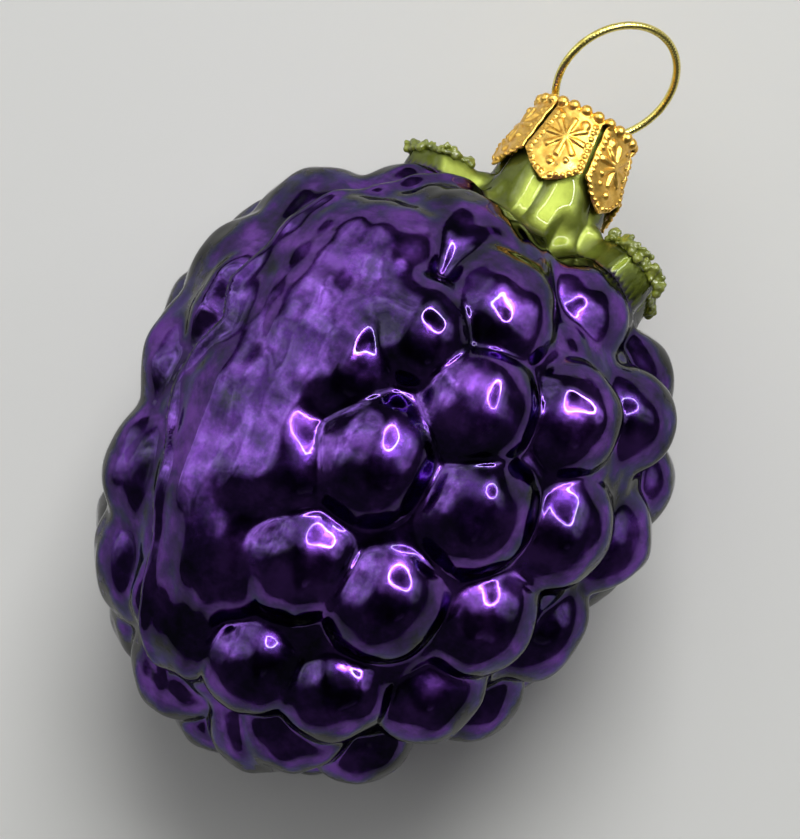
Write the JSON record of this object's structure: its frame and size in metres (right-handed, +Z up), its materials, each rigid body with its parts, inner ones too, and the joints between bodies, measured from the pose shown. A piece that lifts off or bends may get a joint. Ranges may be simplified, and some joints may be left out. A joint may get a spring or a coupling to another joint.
{
  "type": "glass bramble berry ornament",
  "caption": "Hollow blown-glass bramble berry with moulded drupelets and calyx leaves, a stamped crown cap on its neck and a wire hanging loop, lying on its side.",
  "frame": {"origin": "middle of the footprint of the whole ornament as it lies on its side, on the surface it lies on", "axes": "+Y along the berry's axis from its tip towards the neck, cap and loop; +X across it; +Z up from the surface, towards the side that the picture shows"},
  "size_m": [0.054, 0.0852, 0.054],
  "materials": {
    "violet_glass": "silvered inside, transparent violet lacquer outside; the leaves and neck in pearl green lacquer",
    "gold_cap": "thin stamped sheet, satin gold",
    "gold_wire": "finely ribbed gold wire",
    "green_grit": "fused green glass grit"
  },
  "bodies": {
    "root": {"glass_berry": "violet_glass", "crown_cap": "gold_cap", "hanger_wire": "gold_wire", "leaf_grit_1": "green_grit", "leaf_grit_2": "green_grit", "leaf_grit_3": "green_grit", "leaf_grit_4": "green_grit", "leaf_grit_5": "green_grit"}
  },
  "joints": []
}
